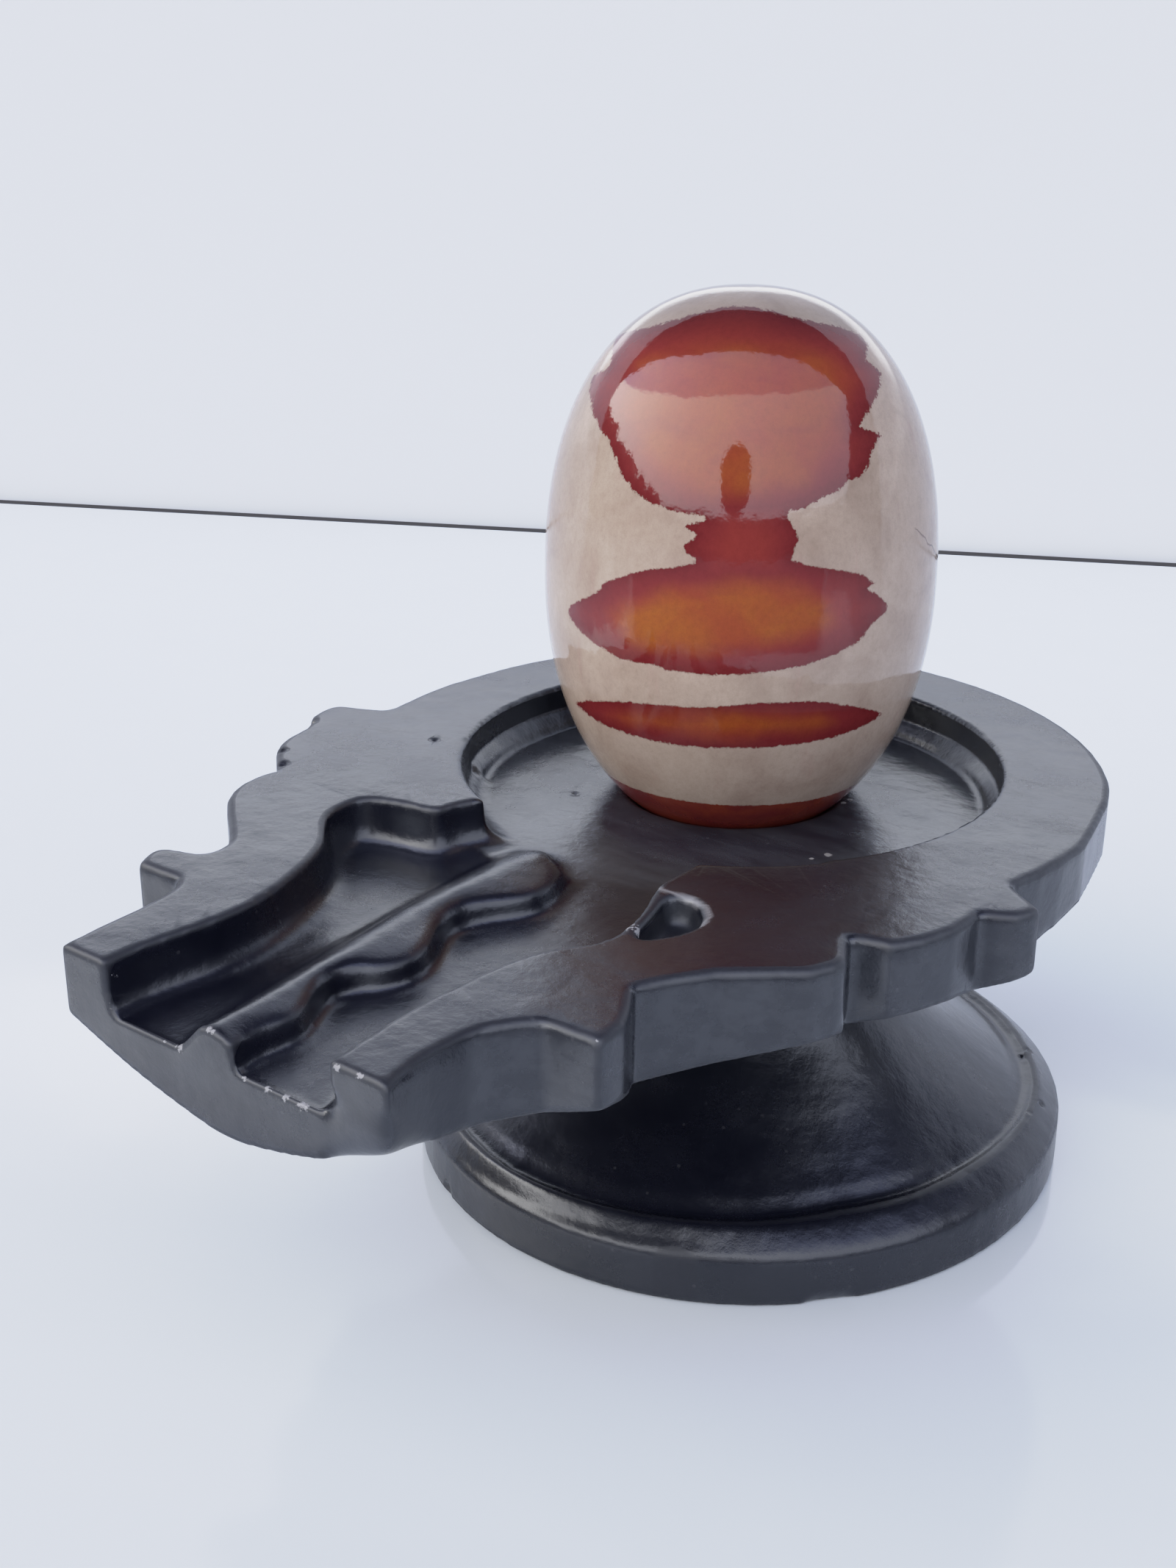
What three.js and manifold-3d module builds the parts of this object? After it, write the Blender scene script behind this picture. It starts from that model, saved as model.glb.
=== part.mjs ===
// A Shiva lingam stone standing in its carved black yoni base, in millimetres, +Z up.
// The origin is on the axis of the basin and foot, at the plane that the foot stands on.
// The spout points along -Y.

import * as THREE from 'three';
import { mergeVertices } from 'three/addons/utils/BufferGeometryUtils.js';
import Module from 'manifold-3d';

// Driving dimensions
const PLATE_TOP_Z = 58.4;
const PLATE_RADIUS = 52.35;
const PLATE_CENTRE_X = 0.8;
const PLATE_CENTRE_Y = -1.7;
const PLATE_EDGE_ROUND = 0.8;
const SPOUT_END_Y = -96.8;

const BASIN_RADIUS = 37.9;
const BASIN_FLOOR_Z = 52;
const BASIN_LEDGE_Z = 53.3;

const CHANNEL_FALL = 0.6;
const CHANNEL_COVE_HEIGHT = 3;
const CHANNEL_COVE_WIDTH = 2;
const POCKET_FLOOR_Z = 54.6;
const RIDGE_CREST_Z = 55.9;
const RIDGE_RIM_Z = 54.9;
const RIDGE_WALL_SPREAD = 0.6;

const HULL_RIM_Z = 50;
const HULL_DEPTH = 8.6;
const HULL_CENTRE_Y = -20;

const FOOT_RADIUS = 48.2;
const FOOT_OVAL = 0.98;
const FOOT_CENTRE = new THREE.Vector2(2.5, 0.9);
const FOOT_WALL_HEIGHT = 7.1;
const GROOVE_RADIUS = 43.2;
const CONE_CENTRE = new THREE.Vector2(1, 1);
const WAIST_RADIUS = 20.5;
const WAIST_Z = 35;

const STONE_RADIUS = 27.1;
const STONE_UPPER_HEIGHT = 38.9;
const STONE_LOWER_HEIGHT = 37.8;
const STONE_UPPER_FULLNESS = 2.31;
const STONE_LOWER_FULLNESS = 2.13;
const STONE_CENTRE = new THREE.Vector3(-2.4, 4.2, 83.6);
const STONE_LEAN_BACK = THREE.MathUtils.degToRad(1.7);
const STONE_LEAN_LEFT = THREE.MathUtils.degToRad(1.2);
const SOCKET_GAP = 0.3;

const ROUND_SEGMENTS = 56;
const ABOVE = 12;

const BLACK_STONE = { color: 0x1c1d22, roughness: 0.3, metalness: 0 };
const CREAM_STONE = { color: 0xc9ab90, roughness: 0.2, metalness: 0 };

// Plan of the plate's edge, hand carved, so its two sides are not mirror images
const LEFT_SHOULDER = [[-50.2, 10], [-52, -2], [-51.8, -9], [-51.2, -15]];
const LEFT_LUG = [
  [-51.5, -16.6], [-55, -18.3], [-57.9, -19.3], [-58.8, -21.3], [-58.1, -25.4],
  [-55.3, -29.2], [-54.3, -34.3], [-51.8, -38.8], [-46, -44],
];
const LEFT_LOBE = [
  [-46.6, -46], [-46.3, -50.5], [-43.6, -55.6], [-36.8, -61.5], [-32.6, -65.6], [-32.4, -69],
];
const LEFT_HOOK = [[-33.4, -70], [-37.3, -71.2], [-38.3, -73.2], [-36.6, -76.7]];
const LEFT_SPOUT = [[-29.5, -76.6], [-27.6, -79.2], [-26.7, -85.2], [-26.4, -92], [-25.8, -98]];
const RIGHT_SPOUT = [[24.8, -98], [23.6, -91.9], [23.6, -86.8], [24.4, -81.8], [28.2, -77.1]];
const RIGHT_HOOK = [[35.4, -76.8], [35.3, -72.4], [33, -67.9], [31.2, -65.2]];
const RIGHT_LOBE = [[31.6, -64.2], [36.3, -56.9], [44.4, -50], [46, -45.3]];
const RIGHT_NOTCH = [[43.1, -40], [45.3, -39.3]];
const RIGHT_LUG = [[47.9, -38.8], [50.2, -35.4], [51.8, -30.6]];
const RIGHT_TAB = [[52.1, -25], [55.9, -22.9], [57.1, -19.4]];
const RIGHT_ARC_START = THREE.MathUtils.degToRad(-15.2);
const LEFT_ARC_END = THREE.MathUtils.degToRad(167);

// Plan of the recess that leads from the basin to the spout's end
const RECESS_MOUTH_LEFT = [[-12, -27], [-16.8, -35.3]];
const RECESS_LEFT_SPUR = [[-18.2, -38.1], [-18.7, -41]];
const RECESS_LEFT_ALCOVE = [
  [-20, -41.7], [-25, -42.4], [-28.9, -44], [-29.8, -47], [-28.6, -51.7], [-23.6, -57.2],
  [-20.7, -62.2], [-18, -69.9], [-16.8, -77], [-17.2, -84], [-18.4, -91.5], [-18.4, -98],
];
const RECESS_RIGHT_SIDE = [
  [16.6, -98], [15.9, -92], [15.4, -84], [15.8, -75], [16.6, -67.8], [18.6, -62.6],
  [21.2, -59], [21.7, -55], [20.8, -50], [18.9, -45.2],
];
const RECESS_RIGHT_SPUR = [[17.6, -41.5], [17.6, -37.8], [17.9, -34.2]];
const RECESS_MOUTH_RIGHT = [[12, -27]];
const POCKET = [
  [20.6, -44.2], [22.6, -43], [25, -43.9], [28.1, -48.4], [26, -53.7], [23.8, -54.9], [22.3, -50],
];

// Lines of the low ridge that splits the channel in two, from its nose to the spout's end
const RIDGE_LEFT_FOOT = [[-5, -31], [-12, -33.5], [-13, -42], [-12, -60], [-10.5, -76], [-7, -97.5]];
const RIDGE_CREST = [
  [-1.2, -36.6], [-2.9, -39.6], [-4, -44], [-4, -50], [-4, -57.5], [-3.6, -64.3], [-2.8, -71.2],
  [-2.2, -79], [-1.8, -86.3], [-1.6, -92], [-1.8, -97.5],
];
const RIDGE_RIGHT_RIM = [
  [0.1, -37], [1.9, -41.5], [3, -45.6], [2.3, -49.1], [-0.5, -53.4], [-1.7, -57], [-0.9, -60.8], [1.6, -65.2],
  [2.8, -69.4], [1.9, -73.1], [-0.4, -75.8], [-1.3, -78.7], [-0.5, -81.9], [1.3, -85.2], [2.2, -88.2],
  [1.6, -91.2], [1.4, -94], [1.8, -97.5],
];

// Convex plan that the tray's underside fills, wider than the plate's notches
const HULL_PLAN = [
  [53.4, 0], [45, 27], [24, 47], [0, 51.5], [-24, 47], [-45, 27], [-53.6, 0], [-59.5, -20],
  [-54.5, -35], [-47.8, -51], [-39.6, -74.5], [-27.4, -97], [-12, -125], [0, -145], [12, -125],
  [25.5, -97], [36.2, -76], [46.6, -50], [53.5, -33], [57.6, -19],
];

const wasm = await Module();
wasm.setup();

const vector = ([x, y]) => new THREE.Vector2(x, y);
const spline = (points, perSpan = 2) =>
  new THREE.SplineCurve(points.map(vector)).getPoints(perSpan * (points.length - 1));

// Closed geometry to solid: shared corners merged, and the slivers at a lathe's poles left out
function solid(geometry) {
  const bare = geometry.clone();
  bare.deleteAttribute('normal');
  bare.deleteAttribute('uv');
  bare.clearGroups();
  const merged = mergeVertices(bare, 1e-4);
  const index = merged.index.array;
  const triangles = [];
  for (let i = 0; i < index.length; i += 3) {
    const [a, b, c] = index.subarray(i, i + 3);
    if (a !== b && b !== c && c !== a) triangles.push(a, b, c);
  }
  return new wasm.Manifold(
    new wasm.Mesh({
      numProp: 3,
      vertProperties: new Float32Array(merged.attributes.position.array),
      triVerts: new Uint32Array(triangles),
    }),
  );
}

function toGeometry(manifold) {
  const mesh = manifold.getMesh();
  const geometry = new THREE.BufferGeometry();
  geometry.setAttribute('position', new THREE.BufferAttribute(mesh.vertProperties, 3));
  geometry.setIndex(new THREE.BufferAttribute(mesh.triVerts, 1));
  geometry.computeVertexNormals();
  return geometry;
}

// Lathe about +Z from a profile of [radius, height] pairs that starts low and ends high
function lathe(profile, segments = ROUND_SEGMENTS) {
  return new THREE.LatheGeometry(profile.map(vector), segments).rotateX(Math.PI / 2);
}

// Prism over a plan outline; its floor edge is coved by `round` when that is given
function prism(outline, bottom, top, round) {
  const bevel = round
    ? {
        bevelEnabled: true,
        bevelThickness: round.height,
        bevelSize: round.width,
        bevelOffset: -round.width,
        bevelSegments: 2,
      }
    : { bevelEnabled: false };
  const ends = round ? round.height : 0;
  return new THREE.ExtrudeGeometry(new THREE.Shape(outline), { depth: top - bottom - 2 * ends, ...bevel })
    .translate(0, 0, bottom + ends);
}

function plateOutline() {
  const arc = new THREE.EllipseCurve(
    PLATE_CENTRE_X, PLATE_CENTRE_Y, PLATE_RADIUS, PLATE_RADIUS, RIGHT_ARC_START, LEFT_ARC_END,
  );
  return [
    ...arc.getPoints(32),
    ...spline(LEFT_SHOULDER),
    ...spline(LEFT_LUG),
    ...spline(LEFT_LOBE),
    ...spline(LEFT_HOOK),
    ...spline(LEFT_SPOUT),
    ...spline(RIGHT_SPOUT),
    ...spline(RIGHT_HOOK),
    ...spline(RIGHT_LOBE),
    ...RIGHT_NOTCH.map(vector),
    ...spline(RIGHT_LUG),
    ...spline(RIGHT_TAB),
  ];
}

// Bowl-shaped block that gives the tray its curved underside: a lathe stretched to the hull plan
function hullBlock() {
  const shares = [0, 0.25, 0.45, 0.6, 0.72, 0.82, 0.91, 1];
  const underside = (share) => HULL_RIM_Z - HULL_DEPTH * (1 - share ** 4) ** 1.2;
  const profile = shares.map((share) => [share, underside(share)]);
  profile.push([1, PLATE_TOP_Z + ABOVE], [0, PLATE_TOP_Z + ABOVE]);
  const plan = new THREE.CatmullRomCurve3(
    HULL_PLAN.map(([x, y]) => new THREE.Vector3(x, y, 0)), true,
  ).getSpacedPoints(ROUND_SEGMENTS);
  const geometry = new THREE.LatheGeometry(profile.map(vector), ROUND_SEGMENTS);
  const place = geometry.attributes.position;
  for (let turn = 0; turn <= ROUND_SEGMENTS; turn += 1) {
    const rim = plan[turn % ROUND_SEGMENTS];
    for (let ring = 0; ring < profile.length; ring += 1) {
      const [share, height] = profile[ring];
      const x = rim.x * share;
      const y = HULL_CENTRE_Y + (rim.y - HULL_CENTRE_Y) * share;
      place.setXYZ(turn * profile.length + ring, x, y, height);
    }
  }
  return geometry;
}

function tray() {
  const edge = { height: PLATE_EDGE_ROUND, width: PLATE_EDGE_ROUND };
  const slab = solid(prism(plateOutline(), WAIST_Z, PLATE_TOP_Z, edge));
  return slab.intersect(solid(hullBlock()));
}

// Foot with a bead and groove, a concave cone, and a waist that flares into the tray.
// The foot's edge is a little oval, and set off from the groove and the cone.
function pedestal() {
  const foot = [
    [0, 0], [FOOT_RADIUS - 0.5, 0], [FOOT_RADIUS, 0.5], [FOOT_RADIUS, FOOT_WALL_HEIGHT],
    [FOOT_RADIUS - 0.5, FOOT_WALL_HEIGHT + 0.6], [GROOVE_RADIUS + 2.4, 9.8], [GROOVE_RADIUS + 1.6, 10.4],
    [GROOVE_RADIUS + 0.9, 10.3], [GROOVE_RADIUS + 0.2, 9.8], [GROOVE_RADIUS - 0.4, 9.8],
  ];
  const cone = spline([
    [GROOVE_RADIUS - 0.4, 9.8], [37.8, 13.2], [31.6, 17.6], [25.6, 23.6], [22, 29.5], [WAIST_RADIUS, WAIST_Z],
    [22.5, 39], [29, 42.2], [37, 44.6],
  ], 2).slice(1).map((point) => [point.x, point.y]);
  const geometry = lathe([...foot, ...cone, [37, 48], [0, 48]]);
  const place = geometry.attributes.position;
  for (let i = 0; i < place.count; i += 1) {
    const radius = Math.hypot(place.getX(i), place.getY(i));
    const isFoot = place.getZ(i) < 12;
    const share = isFoot ? THREE.MathUtils.smoothstep(radius, GROOVE_RADIUS, FOOT_RADIUS) : 0;
    const centre = CONE_CENTRE.clone().lerp(FOOT_CENTRE, share);
    const squeeze = THREE.MathUtils.lerp(1, FOOT_OVAL, share);
    place.setX(i, centre.x + place.getX(i) * squeeze);
    place.setY(i, centre.y + place.getY(i));
  }
  return solid(geometry);
}

function basinCutter() {
  return solid(lathe([
    [0, BASIN_FLOOR_Z], [34.6, BASIN_FLOOR_Z], [36, BASIN_FLOOR_Z + 0.5],
    [36.6, BASIN_LEDGE_Z - 0.1], [37.3, BASIN_LEDGE_Z], [BASIN_RADIUS - 0.2, BASIN_LEDGE_Z + 0.6],
    [BASIN_RADIUS, PLATE_TOP_Z - 0.7], [BASIN_RADIUS + 0.7, PLATE_TOP_Z + 0.05],
    [BASIN_RADIUS + 0.7, PLATE_TOP_Z + ABOVE], [0, PLATE_TOP_Z + ABOVE],
  ]));
}

function recessCutter() {
  const outline = [
    ...RECESS_MOUTH_LEFT.map(vector),
    ...RECESS_LEFT_SPUR.map(vector),
    ...spline(RECESS_LEFT_ALCOVE),
    ...spline(RECESS_RIGHT_SIDE),
    ...RECESS_RIGHT_SPUR.map(vector),
    ...RECESS_MOUTH_RIGHT.map(vector),
  ];
  const cove = { height: CHANNEL_COVE_HEIGHT, width: CHANNEL_COVE_WIDTH };
  const length = BASIN_RADIUS + SPOUT_END_Y;
  const channel = prism(outline, 0, ABOVE + CHANNEL_COVE_HEIGHT, cove)
    .translate(0, BASIN_RADIUS, 0)
    .rotateX(Math.atan2(CHANNEL_FALL, -length))
    .translate(0, -BASIN_RADIUS, BASIN_FLOOR_Z);
  return solid(channel);
}

function pocketCutter() {
  const round = { height: 1.6, width: 0.9 };
  return solid(prism(spline([...POCKET, POCKET[0]]).slice(1), POCKET_FLOOR_Z, PLATE_TOP_Z + ABOVE, round));
}

// Ridge: a box bent to its three plan lines, gentle on the left and steep on the right
function ridge() {
  const across = 6;
  const along = 46;
  const lines = [RIDGE_LEFT_FOOT, RIDGE_CREST, RIDGE_RIGHT_RIM].map(
    (points) => new THREE.SplineCurve(points.map(vector)).getSpacedPoints(along),
  );
  const heights = [BASIN_FLOOR_Z - 0.6, RIDGE_CREST_Z, RIDGE_RIM_Z];
  const noseLength = 2;
  const geometry = new THREE.BoxGeometry(2, 1, 1, across, along, 1);
  const place = geometry.attributes.position;
  for (let i = 0; i < place.count; i += 1) {
    const share = place.getX(i) + 1;
    const station = Math.round((0.5 - place.getY(i)) * along);
    const side = share > 1 ? 1 : 0;
    const blend = share - side;
    const plan = lines[side][station].clone().lerp(lines[side + 1][station], blend);
    const swell = side === 0 ? Math.sin((blend * Math.PI) / 2) ** 1.4 : blend;
    const crest = THREE.MathUtils.lerp(heights[side], heights[side + 1], swell);
    const rise = THREE.MathUtils.smoothstep(station, 0, noseLength);
    const isTop = place.getZ(i) > 0;
    const floor = BASIN_FLOOR_Z - 1.6;
    const spread = !isTop && share === 2 ? RIDGE_WALL_SPREAD : 0;
    place.setXYZ(i, plan.x + spread, plan.y, isTop ? THREE.MathUtils.lerp(floor + 1, crest, rise) : floor);
  }
  return solid(geometry);
}

// The stone's egg, a superellipse turned about its long axis, grown outwards by `grow`
function egg(grow, segments, steps) {
  const profile = [];
  for (let step = 0; step <= steps; step += 1) {
    const angle = -Math.PI / 2 + (Math.PI * step) / steps;
    const isUpper = angle > 0;
    const height = (isUpper ? STONE_UPPER_HEIGHT : STONE_LOWER_HEIGHT) + grow;
    const power = 2 / (isUpper ? STONE_UPPER_FULLNESS : STONE_LOWER_FULLNESS);
    const radius = step % steps ? (STONE_RADIUS + grow) * Math.cos(angle) ** power : 0;
    profile.push([radius, Math.sign(angle) * height * Math.abs(Math.sin(angle)) ** power]);
  }
  return lathe(profile, segments)
    .rotateY(-STONE_LEAN_LEFT)
    .rotateX(-STONE_LEAN_BACK)
    .translate(...STONE_CENTRE.toArray());
}

function spoutEndCutter() {
  const depth = 40;
  return solid(new THREE.BoxGeometry(120, depth, 60).translate(0, SPOUT_END_Y - depth / 2, PLATE_TOP_Z));
}

function yoniBase() {
  const hollow = basinCutter().add(recessCutter()).add(pocketCutter());
  return tray()
    .add(pedestal())
    .subtract(hollow)
    .add(ridge())
    .subtract(spoutEndCutter())
    .subtract(solid(egg(SOCKET_GAP, 32, 32)));
}

function mesh(name, geometry, look) {
  const piece = new THREE.Mesh(geometry, new THREE.MeshStandardMaterial(look));
  piece.name = name;
  return piece;
}

const lingam = new THREE.Group();
lingam.add(mesh('yoni_base', toGeometry(yoniBase()), BLACK_STONE));
lingam.add(mesh('lingam_stone', toGeometry(solid(egg(0, 48, 26))), CREAM_STONE));

export default lingam;
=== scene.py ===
"""Looks for the Shiva lingam stone in its yoni base: meshes, stone materials, stage, light and camera."""

import math

import bpy
import numpy as np
from mathutils import Matrix, Vector


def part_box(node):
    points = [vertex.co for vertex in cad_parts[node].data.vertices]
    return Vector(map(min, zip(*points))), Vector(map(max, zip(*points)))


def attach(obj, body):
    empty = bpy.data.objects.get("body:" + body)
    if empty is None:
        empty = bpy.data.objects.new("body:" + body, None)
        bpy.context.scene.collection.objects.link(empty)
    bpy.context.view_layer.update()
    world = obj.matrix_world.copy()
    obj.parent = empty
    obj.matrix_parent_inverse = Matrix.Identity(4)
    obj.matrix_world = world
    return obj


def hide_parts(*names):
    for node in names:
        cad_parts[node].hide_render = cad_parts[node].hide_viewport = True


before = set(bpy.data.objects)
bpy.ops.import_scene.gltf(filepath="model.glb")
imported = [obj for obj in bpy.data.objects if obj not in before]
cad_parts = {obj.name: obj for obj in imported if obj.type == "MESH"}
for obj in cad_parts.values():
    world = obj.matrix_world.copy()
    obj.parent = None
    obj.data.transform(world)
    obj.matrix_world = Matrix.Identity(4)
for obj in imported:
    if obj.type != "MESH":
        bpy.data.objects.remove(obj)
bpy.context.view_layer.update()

# Lengths are in millimetres and angles in degrees. A heading is counted from +X towards +Y.
MM = 0.001
BASE_NODE = "yoni_base"
STONE_NODE = "lingam_stone"

# ---------------------------------------------------------------- sizes and places

# Camera, with its clipping distances in metres
CAMERA_PLACE = (141.8, -216.3, 157.1)
CAMERA_HEADING = 37.741
CAMERA_PITCH = -21.863
CAMERA_ROLL = 0.265
CAMERA_LENS = 44.73
CAMERA_SENSOR_HEIGHT = 36
CAMERA_CLIP = (0.01, 20)

# Tray of the base: its underside hangs from a rim line, which HULL_PLAN gives as seen from above
SPOUT_END_Y = -96.8
HULL_RIM_Z = 50.0
HULL_DEPTH = 8.6
HULL_CENTRE_Y = -20.0
HULL_SQUARENESS = 4
HULL_ROUNDNESS = 1.2
HULL_REACH = 1.2
HULL_FACING = (0.3, 0.6)
HULL_PLAN = [
    (53.4, 0), (45, 27), (24, 47), (0, 51.5), (-24, 47), (-45, 27), (-53.6, 0), (-59.5, -20),
    (-54.5, -35), (-47.8, -51), (-39.6, -74.5), (-27.4, -97), (-12, -125), (0, -145), (12, -125),
    (25.5, -97), (36.2, -76), (46.6, -50), (53.5, -33), (57.6, -19),
]

# Foot, and the cone and waist above it, as (radius, height)
FOOT_CENTRE = (2.5, 0.9)
FOOT_TOP = (9.9, 10.6)
CONE_CENTRE = (1.0, 1.0)
CONE_REACH = 2.6
CONE_START = (10.2, 11.5)
CONE_END = (37, 40)
CONE_PROFILE = [
    (42.8, 9.8), (40.6, 11.4), (37.8, 13.2), (31.6, 17.6), (25.6, 23.6), (22, 29.5), (20.5, 35),
    (22.5, 39), (29, 42.2),
]
TURN_SEGMENTS = 56
TURN_START = -90

# Groove on the foot, and how far it wanders outwards, as (heading, shift)
GROOVE_RADIUS = 43.8
GROOVE_REACH_INWARDS = 13
GROOVE_REACH_OUTWARDS = 3.6
GROOVE_START = (7.4, 8.8)
GROOVE_END = (16, 22)
GROOVE_WAVE = [
    (-125, 0), (-109, 0.8), (-97, 1.5), (-80, 1.2), (-64, 0.5), (-50, -0.2), (-37, -1.3), (-23, -0.8),
    (-9, -0.9), (3, -0.4), (14, 0.3), (26, 0.5), (45, 0), (80, -0.4), (120, 0.3), (160, -0.3),
    (200, 0.4),
]

# Basin, as (radius, height) from its floor over the ledge to the plate; the spout opens at its mouth
BASIN_WALL = [
    (33.0, 52.0), (35.3, 52.0), (35.8, 52.4), (36.2, 53.1), (37.2, 54.1), (37.5, 54.35), (37.85, 54.6),
    (37.9, 58.1), (38.15, 58.4), (41.0, 58.4),
]
BASIN_WALL_REACH = 1.8
BASIN_WALL_RADII = (33.5, 40.5)
BASIN_WALL_LOWEST = 50
BASIN_ROUND_RADII = (33, 39.2)
BASIN_LOWEST = 51
BASIN_LIP_RADIUS = 39.8
BASIN_MOUTH = -94.5
BASIN_MOUTH_HALF = 54.5
BASIN_MOUTH_FADE = 3
BASIN_FLOOR_RADIUS = (33, 36)
BASIN_FLOOR_TOP = (52.6, 53.4)
TRAY_UNDERSIDE_Z = 48

# Small pocket in the plate, and its rim, which carries a painted highlight
POCKET_CENTRE = (24.6, -48.4)
POCKET_RADIUS = (6.5, 7.5)
POCKET_DENSE_RADIUS = (7.5, 8.5)
POCKET_TOP = (57, 57.8)
POCKET_LIP = [
    (17.6, -42.3), (19.3, -43.2), (21.1, -42.9), (23.2, -42.7), (26.0, -43.8), (27.7, -45.6),
    (28.3, -48.2),
]
LIP_HIGHLIGHT_REACH = (0.1, 0.5)

# Mesh of the base: cell size, triangles, and rounds of smoothing, with the two boxes that get more of it
REMESH_SIZE = 0.46
BASE_TRIANGLES = 190000
RELAX_SHARE = 0.5
SWELL_SHARE = -0.53
SOFTEN_ROUNDS = 4
RECESS_BOX = ((-31, -94.5, 51), (30, -30, 57.2))
RECESS_FADE = 1.0
RECESS_ROUNDS = 18
UNDER_CORNER_BOX = ((17, -98, 44), (27, -91, 53))
UNDER_CORNER_FADE = 2.5
UNDER_CORNER_ROUNDS = 70
LAST_ROUNDS = 3
CAD_MARGIN = 0.01

# What counts as an outer edge, by how proud it stands, and as flat, by how much the normals turn
EDGE_ROUNDS = 4
EDGE_PROUD = (0.012, 0.06)
BASIN_LIP_EDGE = 0.25
FLAT_ROUNDS = 4
FLAT_BEND = (0.002, 0.02)
FLAT_LEVELS = 10

# Sides of the tray that carry a pale film, partly dust and partly painted sheen, by how far they face
# outwards and by height
SIDE_DUST_AND_SHEEN = 1.15
SIDE_FACING = (0.35, 0.65)
SIDE_START = (46, 49)

# Small dents in the black stone, as (x, y, z, radius, depth)
DENTS = [
    (-36.6, -22, 58.4, 0.9, 0.5), (-50.8, -38.4, 58.0, 1.1, 0.6), (-17.7, -13.3, 52, 0.9, 0.35),
    (-56.5, -27.3, 58.2, 1.3, 0.8), (-47, -42, 58.2, 1.1, 0.7), (35.4, 22.9, 9.8, 0.7, 0.4),
    (36.3, 26.9, 9.8, 0.7, 0.4), (36.3, 29.2, 9.8, 0.8, 0.5), (39.3, 28.7, 9.8, 0.7, 0.4),
    (41.2, 26.7, 9.8, 0.8, 0.5), (43.6, 23.1, 9.8, 0.9, 0.5), (44.5, 17.3, 9.8, 0.8, 0.5),
    (44.5, 12.6, 9.8, 0.7, 0.4), (37.2, -32.6, 0.1, 2.2, 0.4), (38.2, -31.5, 0.1, 2.4, 0.4),
    (39.2, -30.4, 0.1, 2.4, 0.4), (40.2, -29.2, 0.1, 2.2, 0.4), (-17.6, -43.6, 1, 1.8, 0.9),
    (-1.6, -34.6, 53, 0.9, 0.5),
]

# Pale spots on the edges, partly chipped stone and partly painted glints, as (x, y, z, reach)
CHIPS_AND_GLINTS = [
    (-17.7, -96.8, 53.1, 1.4), (-14.8, -96.8, 52.6, 1.6), (-11.8, -96.8, 52.3, 1.5),
    (-9.3, -96.8, 52, 1.5), (-6.8, -96.8, 51.8, 1.7), (-1.5, -96.8, 55.7, 1.6), (3.6, -96.8, 51.6, 1.3),
    (7, -96.8, 51.6, 1.4), (9.6, -96.8, 51.6, 1.5), (12.3, -96.8, 51.8, 2.2), (17.6, -96.8, 57.9, 1.3),
    (20.7, -96.8, 58.2, 1.3), (-18.1, -95.3, 56, 1.2), (-17.6, -43.2, 57.4, 1.7),
    (-16.4, -42.2, 56.5, 1.3), (34.9, -76.6, 58.2, 0.9), (21.7, -53.5, 58.2, 2.4),
    (23.5, -53.3, 58.2, 2.4), (24.8, -51.6, 58.2, 1.8), (26.6, -50.6, 58.2, 2.4),
    (-0.4, -33.6, 53, 1.3),
]

# Pale specks where the stone meets the basin floor, as (x, y, z, radius)
BASIN_SPECKS = [
    (0.0, -11.5, 52.1, 0.5), (1.4, -11.0, 52.1, 0.35), (3.7, -10.0, 52.1, 0.55),
    (4.8, -9.3, 52.1, 0.4), (6.1, -8.6, 52.1, 0.5), (14.2, 7.7, 52.1, 0.5), (14.3, 9.3, 52.1, 0.45),
    (22.0, -9.3, 52.1, 0.6), (20.9, -11.7, 52.1, 0.4),
]

# Stone, a superellipse turned about its long axis
STONE_CENTRE = (-2.4, 4.2, 83.6)
STONE_RADIUS = 27.1
STONE_UPPER_HEIGHT = 38.86
STONE_LOWER_HEIGHT = 37.8
STONE_UPPER_FULLNESS = 2.31
STONE_LOWER_FULLNESS = 2.13
STONE_LEAN_BACK = 1.7
STONE_LEAN_LEFT = 1.2
STONE_AROUND = 320
STONE_STEPS = 260

# Markings, as outlines on a plane that stands across the stone's face: to the right and up from its middle
FACE_HEADING = -56.8
FACE_TILT = 22.0
CROWN = [
    (-17.4, 29.8), (-13.6, 29.2), (-8.8, 29.9), (-5, 31.1), (-1.8, 31.6), (0.6, 31.5), (5.3, 30.1),
    (10, 29.7), (14.3, 29.3), (15.6, 28), (15.2, 25.3), (17.3, 24.2), (17.1, 21.7), (16.2, 19.4),
    (14.8, 16.8), (14.5, 15.9), (17.4, 15.3), (16.3, 13.4), (15.6, 10.9), (15, 9.9), (13.3, 8.8),
    (11, 7), (8.2, 5.3), (5.5, 4.3), (2.8, 3.8), (-4, 3.6), (-7.7, 4.1), (-11.5, 5.4), (-13.7, 7),
    (-15.4, 9.2), (-16.2, 11.5), (-17.2, 13.8), (-18.8, 16), (-19.8, 18.3), (-20.5, 21.2),
    (-20.3, 23.7), (-17.8, 24.2), (-17.7, 26.8),
]
NECK = [
    (-4, 6), (-4.5, 3.1), (-7.2, 2.4), (-5.5, 1.4), (-6.2, 0.6), (-7.1, 0), (-6.9, -0.8), (-5.4, -1.7),
    (-6.1, -5), (7.2, -5), (6.5, -0.9), (6.8, 0.2), (7.3, 1.1), (6.7, 2.4), (5.9, 3.4), (5.5, 6),
]
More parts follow.
